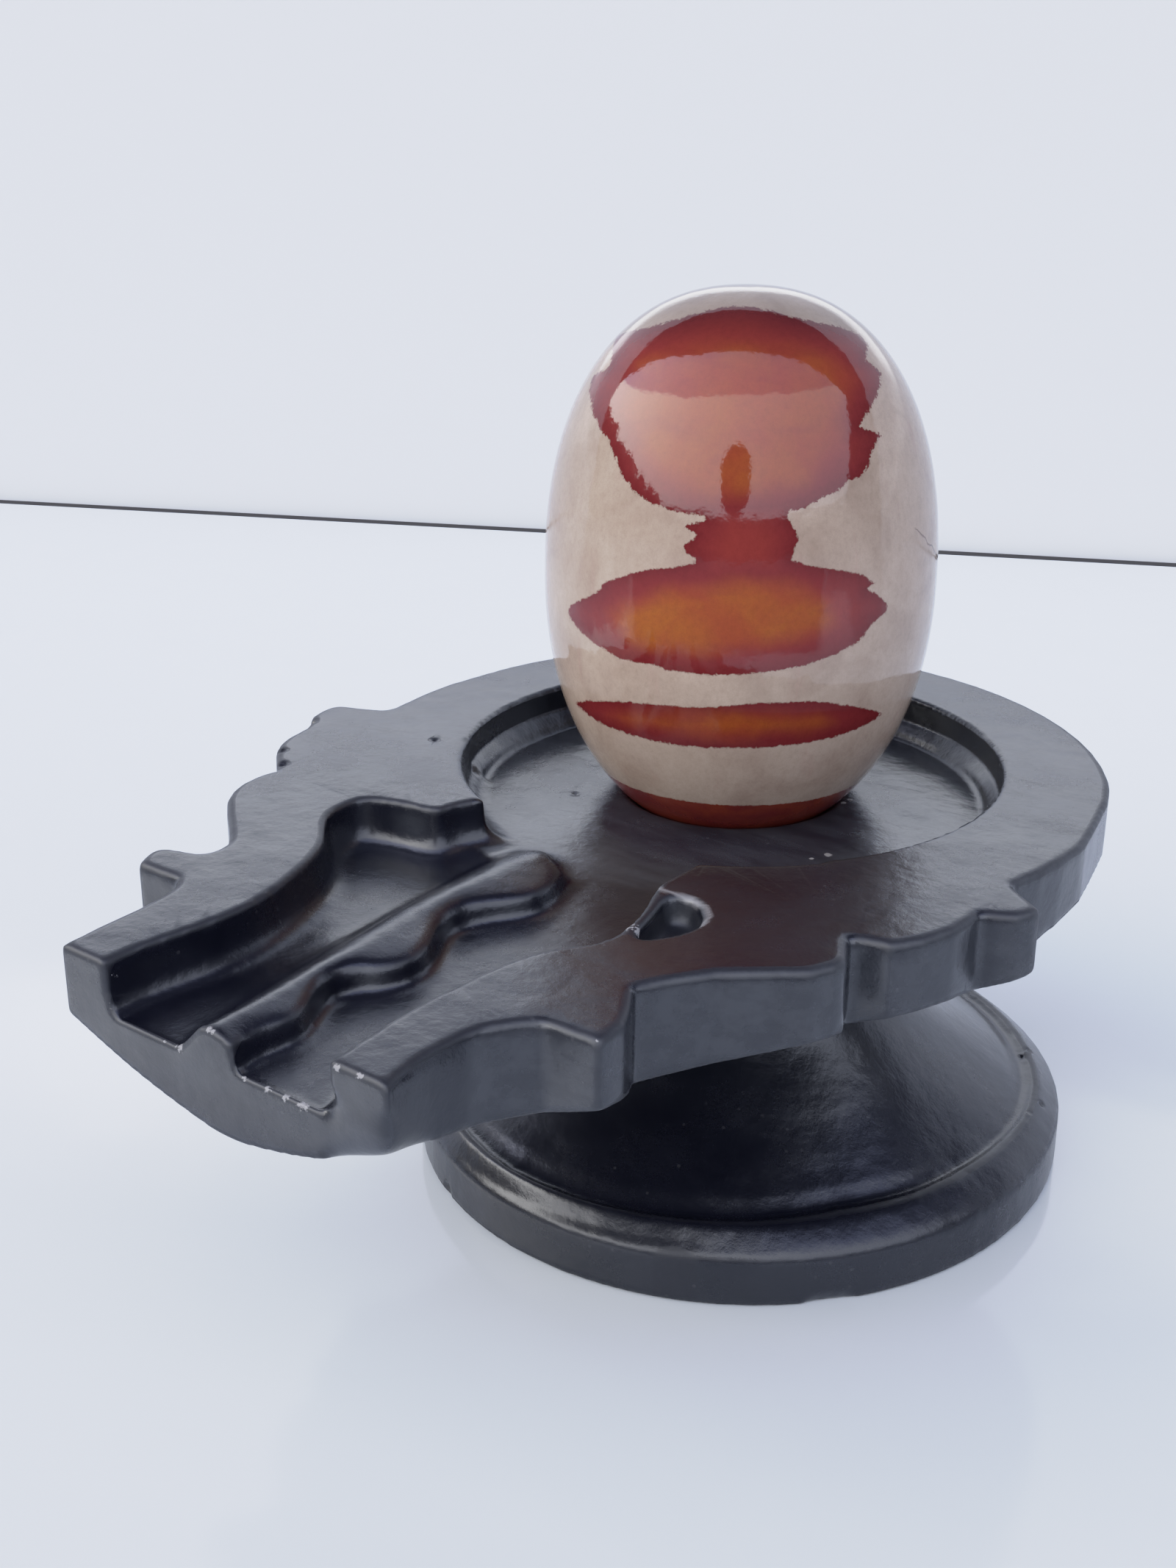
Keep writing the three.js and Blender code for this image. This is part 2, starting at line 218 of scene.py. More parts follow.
MIDDLE_LENS = [
    (-22.6, -7.3), (-22.1, -6.5), (-19.7, -5.8), (-17.8, -5.1), (-18.1, -4.4), (-16.1, -3.8),
    (-13.7, -3.2), (-10.8, -2.7), (-7.5, -2.5), (-5.7, -2.1), (-0.6, -2), (6.7, -1.4), (8.6, -1.9),
    (10.4, -2.1), (13.3, -2.2), (15.7, -2.5), (17.4, -3.3), (16.3, -4.1), (17.8, -4.8), (19.4, -5.9),
    (19, -6.8), (17.3, -8.3), (16.4, -9.5), (15.7, -10.7), (13.8, -11.9), (11, -13.3), (8.2, -14.3),
    (4.5, -15.1), (0.8, -15.6), (-3.4, -15.8), (-6.7, -15.5), (-9.1, -15.2), (-10.1, -14.7),
    (-12.5, -14.3), (-15, -13.8), (-17.6, -12.4), (-19.1, -11.4), (-20.7, -10), (-22.2, -8.3),
]
LOWER_LENS = [
    (-21.8, -19.1), (-19.8, -19), (-16.6, -19.1), (-13.5, -19.3), (-9.6, -19.6), (-5.7, -19.9),
    (-2.8, -19.8), (0, -19.4), (2.8, -19.1), (7, -18.8), (10.4, -18.5), (13.3, -18.7), (16.3, -18.9),
    (18.4, -19.2), (19.8, -19.4), (18.6, -20.4), (16.6, -21.5), (13.6, -22.8), (9.7, -23.8),
    (4.9, -24.6), (0.2, -24.9), (-3.7, -25), (-7.5, -24.7), (-11.5, -24.1), (-14.5, -23.2),
    (-17.7, -22.1), (-19.9, -20.8),
]
CROWN_CORE = [
    (-14, 24), (-6, 25.5), (6, 25.5), (13, 23), (12, 14), (8, 8), (0, 5.5), (-8, 7), (-13, 12),
    (-15, 18),
]
MIDDLE_CORE = [
    (-16.6, -7.6), (-12.6, -7.3), (-7.9, -5.6), (-4.2, -4.9), (3.1, -4.5), (8.2, -4.7), (11.1, -6.7),
    (11.7, -8.5), (9.9, -10), (6.2, -11.5), (-0.3, -12.7), (-6.8, -13), (-11.6, -12.3), (-14.5, -11.2),
    (-16.1, -9.5),
]
LOWER_CORE = [
    (-17, -20.9), (-9, -21), (0, -20.8), (8, -20.6), (13, -20.8), (8, -22.4), (0, -23.1), (-7, -23.1),
    (-13, -22.2),
]
BACK_LENS = [
    (-21, 1), (-14, 4.5), (-4, 6.2), (7, 5.6), (15, 3.2), (21.5, 0.2), (15, -4), (5, -6.6), (-6, -6.2),
    (-15, -3),
]
BACK_CORE = [(-13, 1), (-3, 3), (7, 2.6), (13, 0.4), (5, -3), (-6, -2.8)]
BACK_STREAK = [(-15, 14), (-5, 16.6), (6, 17.2), (13, 15.6), (6, 13.8), (-5, 12.9)]
BOTTOM_BAND_HEIGHT = -27.4
CRACK = [(22.7, 4.4), (23.4, 3.9), (24.2, 3.6), (24.6, 2.9), (25.4, 3.0), (25.9, 2.3), (27.2, 1.9)]
CRACK_START = (22.3, 22.9)
CRACK_FRONT = (-7, -5)
UPPER_START = (-2, 8)
# Heights over which the painted shade on the stone's top grows
TOP_SHADE_START = (0, 16)
TOP_SHADE_END = (29, 37)

# ---------------------------------------------------------------- colours and light

# Colours of the two stones
CREAM = (0.36, 0.282, 0.225)
CREAM_PALE = (0.41, 0.328, 0.265)
CREAM_DARK = (0.29, 0.215, 0.17)
CREAM_PINK = (0.33, 0.225, 0.185)
RED_RIM = (0.11, 0.012, 0.014)
RED_DEEP = (0.145, 0.018, 0.019)
RED = (0.19, 0.026, 0.022)
ORANGE = (0.27, 0.075, 0.012)
ORANGE_DARK = (0.235, 0.045, 0.014)
CRACK_COLOR = (0.13, 0.08, 0.06)
BLACK_DEEP = (0.0015, 0.0017, 0.0045)
BLACK_PALE = (0.004, 0.0045, 0.009)
# Pale film on the black stone: dust and painted sheen on the sides, painted sheen on the basin floor
BLACK_DUST_AND_SHEEN = (0.02, 0.022, 0.027)
BLACK_SHINE = (0.9, 0.94, 1.0)
# Pale grey of specks, chipped spots and painted glints
SPECK_CHIP_AND_GLINT_GREY = (0.22, 0.22, 0.23)
BASIN_SPECK_COLOR = (0.27, 0.26, 0.25)
STONE_MOTTLE = [(0.3, (0.9, 0.89, 0.88)), (0.5, (1.0, 1.0, 1.0)), (0.7, (1.07, 1.07, 1.07))]
# Tints that darken the stone towards its top: painted shade
STONE_TOP_SHADE_TINTS = [(0.0, (1.0, 1.0, 1.0)), (0.5, (0.84, 0.83, 0.82)), (1.0, (0.48, 0.47, 0.46))]

# Gloss of the two stones, and the width of the soft border of a marking
STONE_IOR = 1.48
STONE_ROUGHNESS = (0.035, 0.09)
MARKING_BORDER = (-0.12, 0.12)
BLACK_IOR = 1.56
BLACK_ROUGHNESS = (0.17, 0.25)
EDGE_ROUGHNESS = 0.5
POCKET_ROUGHNESS = 0.5
CHIP_AND_GLINT_ROUGHNESS = 0.7
SPECK_SHARE = 0.06
# Strength of the painted highlight on the pocket's rim
LIP_HIGHLIGHT_SHARE = 0.6
BASIN_SPECK_SHARE = 0.55

# Floor and backdrop, and the open seam between them
WALL_LINE = 26.7
WALL_PLACE = (-180.0, 285.0)
WALL_FOOT = -30
WALL_HEIGHT = 590.0
SEAM_GAP = 3.5
SEAM_SHARE = 0.8
SEAM_FOOT = -20
SEAM_HEIGHT = 0.5
STAGE_WIDTH = 5000.0
STAGE_DEPTH = 4000.0
FLOOR_COLOR = (0.545, 0.59, 0.645)
FLOOR_ROUGHNESS = 0.1
FLOOR_WAVES_END = (250, 600)
WALL_COLOR = (0.59, 0.625, 0.69)
WALL_COLOR_HIGH = (0.93, 0.95, 0.98)
WALL_ROUGHNESS = 0.5
WALL_BAND = (0.285, 0.325, 0.38, 0.46)
WALL_GLOW = 1.6
WALL_GLOW_START = (-360.0, -260.0)
WALL_GLOW_END = (160.0, 250.0)
SEAM_COLOR = (0.05, 0.05, 0.055)
SEAM_ROUGHNESS = 0.8

# Part of the floor that is dark in reflections alone, between two headings
SHADE_COLOR = (0.16, 0.168, 0.2)
SHADE_HEADINGS = (-30.0, -98.0)
SHADE_SIDES = (-10, 30)
SHADE_START = (210, 260)
SHADE_ROUGHNESS = 0.7

# Sky: each edge is the heading and elevation of a plane's normal, and heights are the sine of the elevation
BACKGROUND_COLOR = (0.74, 0.77, 0.82)
SKY_BRIGHT_SIDE = (-152.0, 30.0)
SKY_EDGES = [(-66.0, -4.5), (-51.8, -5.3), (-90.0, -13.8)]
SKY_RIGHT_EDGE = (-90.0, 36.0)
SKY_EDGE_FADE = 0.02
SKY_LOW_EDGE = (10.0, 70.4)
SKY_LOW_FADE = (0.02, 0.04)
SKY_HORIZON = (0.165, 0.2)
SKY_UPPER_PART = (131.0, 69.7)
SKY_UPPER_START = (0.597, 0.617)
SKY_GLOW = [
    (0.0, 0.22), (0.15, 0.26), (0.44, 0.32), (0.75, 0.47), (0.87, 0.60), (0.95, 0.78), (1.0, 1.0),
]
SKY_COLORS = [(0.0, (0.80, 0.86, 1.06)), (0.6, (0.92, 0.93, 1.02)), (1.0, (1.0, 0.96, 0.91))]
SKY_TOP_TINT = (0.8, 0.86, 1.15)
SKY_TOP_SHARE = 0.5
SKY_STRENGTH = 7.8
SKY_SHADE = 0.14
LEAVES_SPREAD = 0.22

# Narrow dark shape that stands in front of the sky
GAP_HEADING = -61.0
GAP_MIDDLE = 0.38
GAP_HALF_HEIGHT = 0.2
GAP_HALF_WIDTH = 0.145
GAP_BORDER = (1.1, 0.9)
GAP_FRONT = (0.0, 0.1)

# Soft shoulder of the picture's brightness
TONE_WHITE = 4.0
TONE_POINTS = [(0.0, 0.0), (0.075, 0.3), (0.15, 0.55), (0.25, 0.76), (0.5, 0.93), (1.0, 1.0)]


# ---------------------------------------------------------------- helpers


def metres(x, y, z):
    return Vector((x, y, z)) * MM


def turn(angle, axis):
    return Matrix.Rotation(math.radians(angle), 4, axis)


def link(obj):
    bpy.context.scene.collection.objects.link(obj)
    return obj


def heading_vector(heading, elevation=0):
    """Unit vector towards a heading and an elevation"""
    flat = math.cos(math.radians(elevation))
    return (
        flat * math.cos(math.radians(heading)),
        flat * math.sin(math.radians(heading)),
        math.sin(math.radians(elevation)),
    )


def smooth_step(value, low, high):
    share = np.clip((value - low) / (high - low), 0, 1)
    return share * share * (3 - 2 * share)


def read_points(mesh):
    flat = np.empty(len(mesh.vertices) * 3)
    mesh.vertices.foreach_get("co", flat)
    return flat.reshape(-1, 3) / MM


def write_points(mesh, points):
    mesh.vertices.foreach_set("co", (points * MM).ravel())
    mesh.update()


def read_normals(mesh):
    flat = np.empty(len(mesh.vertices) * 3)
    mesh.vertices.foreach_get("normal", flat)
    return flat.reshape(-1, 3)


def store_attribute(mesh, name, values):
    attribute = mesh.attributes.new(name, "FLOAT", "POINT")
    attribute.data.foreach_set("value", np.ascontiguousarray(values, dtype=np.float32))


def distance_from(centre, points):
    """Distance of points from an upright axis"""
    return np.hypot(points[:, 0] - centre[0], points[:, 1] - centre[1])


def nearest_on_line(line, across, up):
    """The nearest place on an open line and the distance to it, for many places at once"""
    place = np.stack([across, up], axis=1)
    best = np.full(len(place), 1e9)
    found = place.copy()
    for start, end in zip(np.array(line[:-1], float), np.array(line[1:], float)):
        edge = end - start
        share = np.clip((place - start) @ edge / (edge @ edge), 0, 1)
        foot = start + share[:, None] * edge
        distance = np.linalg.norm(place - foot, axis=1)
        closer = distance < best
        best[closer] = distance[closer]
        found[closer] = foot[closer]
    return found, best


def outline_depth(outline, across, up):
    """How deep places lie inside a closed outline; negative outside"""
    corners = [*outline, outline[0]]
    nearest = nearest_on_line(corners, across, up)[1]
    inside = np.zeros(len(nearest), bool)
    for start, end in zip(corners[:-1], corners[1:]):
        crosses = (start[1] > up) != (end[1] > up)
        slope = (end[0] - start[0]) / (end[1] - start[1]) if end[1] != start[1] else 0.0
        inside ^= crosses & (across < start[0] + (up - start[1]) * slope)
    return np.where(inside, nearest, -nearest)


def curve_through(points, closed=False, per_span=12):
    """Smooth curve through points"""
    points = np.asarray(points, float)
    count = len(points)
    out = []
    for span in range(count if closed else count - 1):
        around = [span - 1, span, span + 1, span + 2]
        if closed:
            around = [index % count for index in around]
        else:
            around = [min(max(index, 0), count - 1) for index in around]
        before, start, end, after = points[around]
        leaving = (end - before) / 2
        arriving = (after - start) / 2
        for t in np.arange(per_span) / per_span:
            cubic = 2 * start - 2 * end + leaving + arriving
            square = -3 * start + 3 * end - 2 * leaving - arriving
            out.append(cubic * t**3 + square * t**2 + leaving * t + start)
    if not closed:
        out.append(points[-1])
    return np.array(out)


class Nodes:
    """Short calls that build a node tree; an input is a socket, a number or a tuple"""

    def __init__(self, tree):
        self.tree = tree

    def add(self, kind, **settings):
        node = self.tree.nodes.new(kind)
        for name, value in settings.items():
            setattr(node, name, value)
        return node

    def feed(self, socket, value):
        if isinstance(value, bpy.types.NodeSocket):
            self.tree.links.new(value, socket)
        else:
            socket.default_value = value

    def feed_all(self, node, values):
        for index, value in enumerate(values):
            self.feed(node.inputs[index], value)

    def math(self, operation, *values):
        node = self.add("ShaderNodeMath", operation=operation)
        self.feed_all(node, values)
        return node.outputs[0]

    def chain(self, operation, values):
        result = values[0]
        for value in values[1:]:
            result = self.math(operation, result, value)
        return result

    def product(self, *values):
        return self.chain("MULTIPLY", values)

    def total(self, *values):
        return self.chain("ADD", values)

    def largest(self, *values):
        return self.chain("MAXIMUM", values)

    def scaled(self, value, factor, offset):
        return self.math("MULTIPLY_ADD", value, factor, offset)

    def centred(self, noise, spread):
        """Noise that swings about zero"""
        return self.scaled(noise, spread, -spread / 2)

    def power(self, value, exponent):
        return self.math("POWER", self.math("ABSOLUTE", value), exponent)

    def vector(self, operation, *values, output="Vector"):
        node = self.add("ShaderNodeVectorMath", operation=operation)
        self.feed_all(node, values)
        return node.outputs[output]

    def along(self, place, heading, elevation=0):
        """How far a place lies in a direction"""
        return self.vector("DOT_PRODUCT", place, heading_vector(heading, elevation), output="Value")

    def length(self, place):
        return self.vector("LENGTH", place, output="Value")

    def stretch(self, place, x, y, z):
        return self.vector("MULTIPLY", place, (x, y, z))

    def place(self):
        """Object coordinates in millimetres"""
        coordinates = self.add("ShaderNodeTexCoord").outputs["Object"]
        return self.stretch(coordinates, 1000, 1000, 1000)

    def axis(self, place, index):
        node = self.add("ShaderNodeSeparateXYZ")
        self.feed(node.inputs[0], place)
        return node.outputs[index]

    def attribute(self, name):
        return self.add("ShaderNodeAttribute", attribute_name=name).outputs["Fac"]

    def light_path(self, name):
        return self.add("ShaderNodeLightPath").outputs[name]

    def step(self, value, low, high, to_low=0.0, to_high=1.0):
        node = self.add("ShaderNodeMapRange", interpolation_type="SMOOTHSTEP")
        self.feed_all(node, (value, low, high, to_low, to_high))
        return node.outputs[0]

    def noise(self, place, scale, detail=3.0, roughness=0.5, distortion=0.0):
        node = self.add("ShaderNodeTexNoise")
        self.feed(node.inputs["Vector"], place)
        node.inputs["Scale"].default_value = scale
        node.inputs["Detail"].default_value = detail
        node.inputs["Roughness"].default_value = roughness
        node.inputs["Distortion"].default_value = distortion
        return node.outputs["Fac"]

    def cells(self, place, scale):
        node = self.add("ShaderNodeTexVoronoi", feature="F1")
        self.feed(node.inputs["Vector"], place)
        node.inputs["Scale"].default_value = scale
        return node.outputs["Distance"]

    def ramp(self, value, stops):
        node = self.add("ShaderNodeValToRGB")
        self.feed(node.inputs[0], value)
        elements = node.color_ramp.elements
        while len(elements) < len(stops):
            elements.new(1.0)
        for element, (place, color) in zip(elements, stops):
            element.position = place
            element.color = (*color, 1) if isinstance(color, tuple) else (color, color, color, 1)
        return node.outputs[0]

    def mix(self, share, first, second, blend="MIX"):
        """Mixes two colours, each a socket or a tuple of red, green and blue"""
        node = self.add("ShaderNodeMix", data_type="RGBA", blend_type=blend)
        self.feed(node.inputs[0], share)
        for socket, color in zip((node.inputs[6], node.inputs[7]), (first, second)):
            self.feed(socket, (*color, 1) if isinstance(color, tuple) else color)
        return node.outputs[2]

    def mix_shaders(self, share, first, second):
        node = self.add("ShaderNodeMixShader")
        self.feed_all(node, (share, first, second))
        return node.outputs[0]

    def bump(self, height, distance, under=None):
        node = self.add("ShaderNodeBump")
        self.feed(node.inputs["Height"], height)
        node.inputs["Distance"].default_value = distance
        node.inputs["Strength"].default_value = 1.0
        if under is not None:
            self.feed(node.inputs["Normal"], under)
        return node.outputs[0]


def start_material(name):
    """A new material, its shader and the calls that build its nodes"""
    material = bpy.data.materials.new(name)
    material.use_nodes = True
    return material, material.node_tree.nodes["Principled BSDF"], Nodes(material.node_tree)


# ---------------------------------------------------------------- camera


def make_camera():
    data = bpy.data.cameras.new("camera")
    data.sensor_fit = "VERTICAL"
    data.sensor_height = CAMERA_SENSOR_HEIGHT
    data.lens = CAMERA_LENS
    data.clip_start, data.clip_end = CAMERA_CLIP
    camera = link(bpy.data.objects.new("camera", data))
    aim = turn(CAMERA_HEADING, "Z") @ turn(90 + CAMERA_PITCH, "X") @ turn(CAMERA_ROLL, "Z")
    camera.matrix_world = Matrix.Translation(metres(*CAMERA_PLACE)) @ aim
    bpy.context.scene.camera = camera


# ---------------------------------------------------------------- stage


def quad(name, corners, material):
    mesh = bpy.data.meshes.new(name)
    mesh.from_pydata([metres(*corner) for corner in corners], [], [(0, 1, 2, 3)])
    mesh.materials.append(material)
    piece = link(bpy.data.objects.new(name, mesh))


def upright(name, left, right, low, high, material):
    quad(name, [(*left, low), (*right, low), (*right, high), (*left, high)], material)


def make_stage():
    along = Vector(heading_vector(WALL_LINE)[:2])
    away = Vector((-along.y, along.x))
    left = Vector(WALL_PLACE) - along * STAGE_WIDTH
    right = Vector(WALL_PLACE) + along * STAGE_WIDTH
    near_left = left - away * STAGE_DEPTH
    near_right = right - away * STAGE_DEPTH
    quad("floor", [(*near_left, 0), (*near_right, 0), (*right, 0), (*left, 0)], floor_material())
    gap = away * SEAM_GAP
    upright("backdrop", left + gap, right + gap, WALL_FOOT, WALL_HEIGHT, wall_material())
    shadow = gap * SEAM_SHARE
    upright("seam_shadow", left + shadow, right + shadow, SEAM_FOOT, SEAM_HEIGHT, seam_material())


def floor_material():
    """Pale glossy floor with slow waves, darker in reflections on the side of the spout"""
    material, shader, nodes = start_material("floor_gloss")
    place = nodes.place()
    reach = nodes.length(place)
    sides = [nodes.step(nodes.along(place, heading), *SHADE_SIDES) for heading in SHADE_HEADINGS]
    mirrored = nodes.light_path("Is Glossy Ray")
    shade = nodes.product(*sides, nodes.step(reach, *SHADE_START), mirrored)
    nodes.feed(shader.inputs["Base Color"], nodes.mix(shade, FLOOR_COLOR, SHADE_COLOR))
    nodes.feed(shader.inputs["Roughness"], nodes.scaled(shade, SHADE_ROUGHNESS, FLOOR_ROUGHNESS))
    waves = nodes.noise(place, scale=0.02, detail=2.0)
    waves = nodes.product(waves, nodes.step(reach, *FLOOR_WAVES_END, 1.0, 0.0))
    nodes.feed(shader.inputs["Normal"], nodes.bump(waves, 0.0004))
    return material


def wall_material():
    """Pale board with a glowing band; from behind it is clear"""
    material, shader, nodes = start_material("backdrop_board")
    rise = nodes.math("DIVIDE", nodes.axis(nodes.place(), 2), WALL_HEIGHT)
    shades = (WALL_COLOR, WALL_COLOR_HIGH, WALL_COLOR_HIGH, WALL_COLOR)
    nodes.feed(shader.inputs["Base Color"], nodes.ramp(rise, list(zip(WALL_BAND, shades))))
    shader.inputs["Roughness"].default_value = WALL_ROUGHNESS
    band = nodes.ramp(rise, list(zip(WALL_BAND, (0.0, 1.0, 1.0, 0.0))))
    along = nodes.along(nodes.place(), WALL_LINE)
    starts = nodes.step(along, *WALL_GLOW_START)
    ends = nodes.step(along, *WALL_GLOW_END, WALL_GLOW, 0.0)
    shader.inputs["Emission Color"].default_value = (*WALL_COLOR_HIGH, 1)
    nodes.feed(shader.inputs["Emission Strength"], nodes.product(band, starts, ends))
    behind = nodes.add("ShaderNodeNewGeometry").outputs["Backfacing"]
    clear = nodes.add("ShaderNodeBsdfTransparent").outputs[0]
    output = material.node_tree.nodes["Material Output"]
    nodes.feed(output.inputs[0], nodes.mix_shaders(behind, shader.outputs[0], clear))
    return material


def seam_material():
    material, shader, _ = start_material("seam_dark")
    shader.inputs["Base Color"].default_value = (*SEAM_COLOR, 1)
    shader.inputs["Roughness"].default_value = SEAM_ROUGHNESS
    return material


# ---------------------------------------------------------------- light


def make_light():
    """Soft sky on the camera's side of the backdrop, brightest to the left, and dark overhead"""
    world = bpy.data.worlds.new("soft_sky")
    bpy.context.scene.world = world
    world.use_nodes = True
    nodes = Nodes(world.node_tree)
    towards = nodes.add("ShaderNodeTexCoord").outputs["Generated"]
    to_bright = nodes.scaled(nodes.along(towards, *SKY_BRIGHT_SIDE), 0.5, 0.5)
    in_upper = nodes.step(nodes.along(towards, *SKY_UPPER_PART), *SKY_UPPER_START)
    color = nodes.mix(in_upper, nodes.ramp(to_bright, SKY_COLORS), SKY_TOP_TINT, "MULTIPLY")
    glow = nodes.ramp(to_bright, SKY_GLOW)
    upper = nodes.scaled(in_upper, SKY_TOP_SHARE - 1, 1.0)
    radiance = nodes.product(glow, upper, open_sky(nodes, towards))
    lit = world.node_tree.nodes["Background"]
    nodes.feed(lit.inputs["Color"], color)
    nodes.feed(lit.inputs["Strength"], nodes.scaled(radiance, SKY_STRENGTH, SKY_SHADE))
    pale = nodes.add("ShaderNodeBackground")
    pale.inputs["Color"].default_value = (*BACKGROUND_COLOR, 1)
    seen = nodes.mix_shaders(nodes.light_path("Is Camera Ray"), lit.outputs[0], pale.outputs[0])
    nodes.feed(world.node_tree.nodes["World Output"].inputs[0], seen)


def open_sky(nodes, towards):
    """1 where the sky is open and 0 where leaves, walls or the dark shape cover it"""
    height = nodes.along(towards, 0, 90)
    leaves = nodes.noise(towards, scale=9.0, detail=5.0, roughness=0.65)
    low_edge = nodes.total(nodes.along(towards, *SKY_LOW_EDGE), nodes.centred(leaves, LEAVES_SPREAD))
    above = nodes.product(nodes.step(height, *SKY_HORIZON), nodes.step(low_edge, *SKY_LOW_FADE))
    edges = [nodes.step(nodes.along(towards, *edge), 0.0, SKY_EDGE_FADE) for edge in SKY_EDGES]
    front = nodes.largest(*edges)
    right = nodes.step(nodes.along(towards, *SKY_RIGHT_EDGE), 0.0, SKY_EDGE_FADE)
    return nodes.product(above, front, right, nodes.math("SUBTRACT", 1.0, dark_gap(nodes, towards, height)))


def dark_gap(nodes, towards, height):
    across = nodes.math("DIVIDE", nodes.along(towards, GAP_HEADING + 90), GAP_HALF_WIDTH)
    up = nodes.math("DIVIDE", nodes.math("SUBTRACT", height, GAP_MIDDLE), GAP_HALF_HEIGHT)
    reach = nodes.total(nodes.power(across, 2.0), nodes.power(up, 3.0))
    in_front = nodes.step(nodes.along(towards, GAP_HEADING), *GAP_FRONT)
    return nodes.product(nodes.step(reach, *GAP_BORDER), in_front)


def make_tone():
    """Soft shoulder that keeps the pale stage from burning out"""
    settings = bpy.context.scene.view_settings
    settings.view_transform = "Standard"
    settings.use_curve_mapping = True
    curves = settings.curve_mapping
    curves.white_level = (TONE_WHITE, TONE_WHITE, TONE_WHITE)
    curve = curves.curves[3]
    for x, y in TONE_POINTS[1:-1]:
        curve.points.new(x, y)
    for point, (x, y) in zip(curve.points, TONE_POINTS):
        point.location = (x, y)
    curves.update()


# ---------------------------------------------------------------- stone


def stone_rings():
    """Radius and height of each ring between the stone's two poles"""
    rings = []
    for step in range(1, STONE_STEPS):
        angle = -math.pi / 2 + math.pi * step / STONE_STEPS
        is_upper = angle > 0
        height = STONE_UPPER_HEIGHT if is_upper else STONE_LOWER_HEIGHT
        power = 2 / (STONE_UPPER_FULLNESS if is_upper else STONE_LOWER_FULLNESS)
        radius = STONE_RADIUS * abs(math.cos(angle)) ** power
        rings.append((radius, math.copysign(height * abs(math.sin(angle)) ** power, angle)))
    return rings


def stone_points(rings):
    points = [(0, 0, -STONE_LOWER_HEIGHT)]
    for radius, height in rings:
        for spoke in range(STONE_AROUND):
            angle = 2 * math.pi * spoke / STONE_AROUND
            points.append((radius * math.cos(angle), radius * math.sin(angle), height))
    points.append((0, 0, STONE_UPPER_HEIGHT))
    return points


def stone_faces(ring_count):
    top = 1 + (ring_count - 1) * STONE_AROUND
    pole = top + STONE_AROUND
    faces = []
    for spoke in range(STONE_AROUND):
        after = (spoke + 1) % STONE_AROUND
        faces.append((0, 1 + after, 1 + spoke))
        for ring in range(ring_count - 1):
            low = 1 + ring * STONE_AROUND
            high = low + STONE_AROUND
            faces.append((low + spoke, low + after, high + after, high + spoke))
        faces.append((pole, top + spoke, top + after))
    return faces


def make_stone():
    rings = stone_rings()
    mesh = bpy.data.meshes.new("lingam_polished")
    mesh.from_pydata([metres(*point) for point in stone_points(rings)], [], stone_faces(len(rings)))
    local_height = read_points(mesh)[:, 2].copy()
    lean = turn(-STONE_LEAN_BACK, "X") @ turn(-STONE_LEAN_LEFT, "Y")
    mesh.transform(Matrix.Translation(metres(*STONE_CENTRE)) @ lean)
    mark_stone(mesh, local_height)
    mesh.shade_smooth()
    mesh.materials.append(stone_material())
    return link(bpy.data.objects.new("lingam_polished", mesh))


def deepest(outlines, across, up):
    return np.max([outline_depth(outline, across, up) for outline in outlines], axis=0)


def mark_stone(mesh, local_height):
    """Stores how deep each point lies in the red and in the orange markings"""
    towards = Vector(heading_vector(FACE_HEADING, FACE_TILT))
    right = Vector(heading_vector(FACE_HEADING + 90))
    offset = read_points(mesh) - np.array(STONE_CENTRE)
    across = offset @ np.array(right)
    up = offset @ np.array(towards.cross(right))
    front = offset @ np.array(towards)
    red = np.minimum(deepest((CROWN, NECK, MIDDLE_LENS, LOWER_LENS), across, up), front)
    core = np.minimum(deepest((CROWN_CORE, MIDDLE_CORE, LOWER_CORE), across, up), front)
    red_behind = np.minimum(deepest((BACK_LENS, BACK_STREAK), -across, up), -front)
    core_behind = np.minimum(outline_depth(BACK_CORE, -across, up), -front)
    store_attribute(mesh, "red_depth", np.maximum(red, red_behind))
    store_attribute(mesh, "core_depth", np.maximum(core, core_behind))
    store_attribute(mesh, "band_depth", BOTTOM_BAND_HEIGHT - local_height)
    crack_across, crack_up = np.array(CRACK).T
    store_attribute(mesh, "crack_offset", up - np.interp(across, crack_across, crack_up))
    crack_range = smooth_step(across, *CRACK_START) * smooth_step(front, *CRACK_FRONT)
    store_attribute(mesh, "crack_range", crack_range)
    store_attribute(mesh, "upper_share", smooth_step(up, *UPPER_START))
    # Painted shade: a share that grows towards the stone's top
    painted_top_shade = (smooth_step(local_height, *TOP_SHADE_START) + smooth_step(local_height, *TOP_SHADE_END)) / 2
    store_attribute(mesh, "painted_top_shade", painted_top_shade)


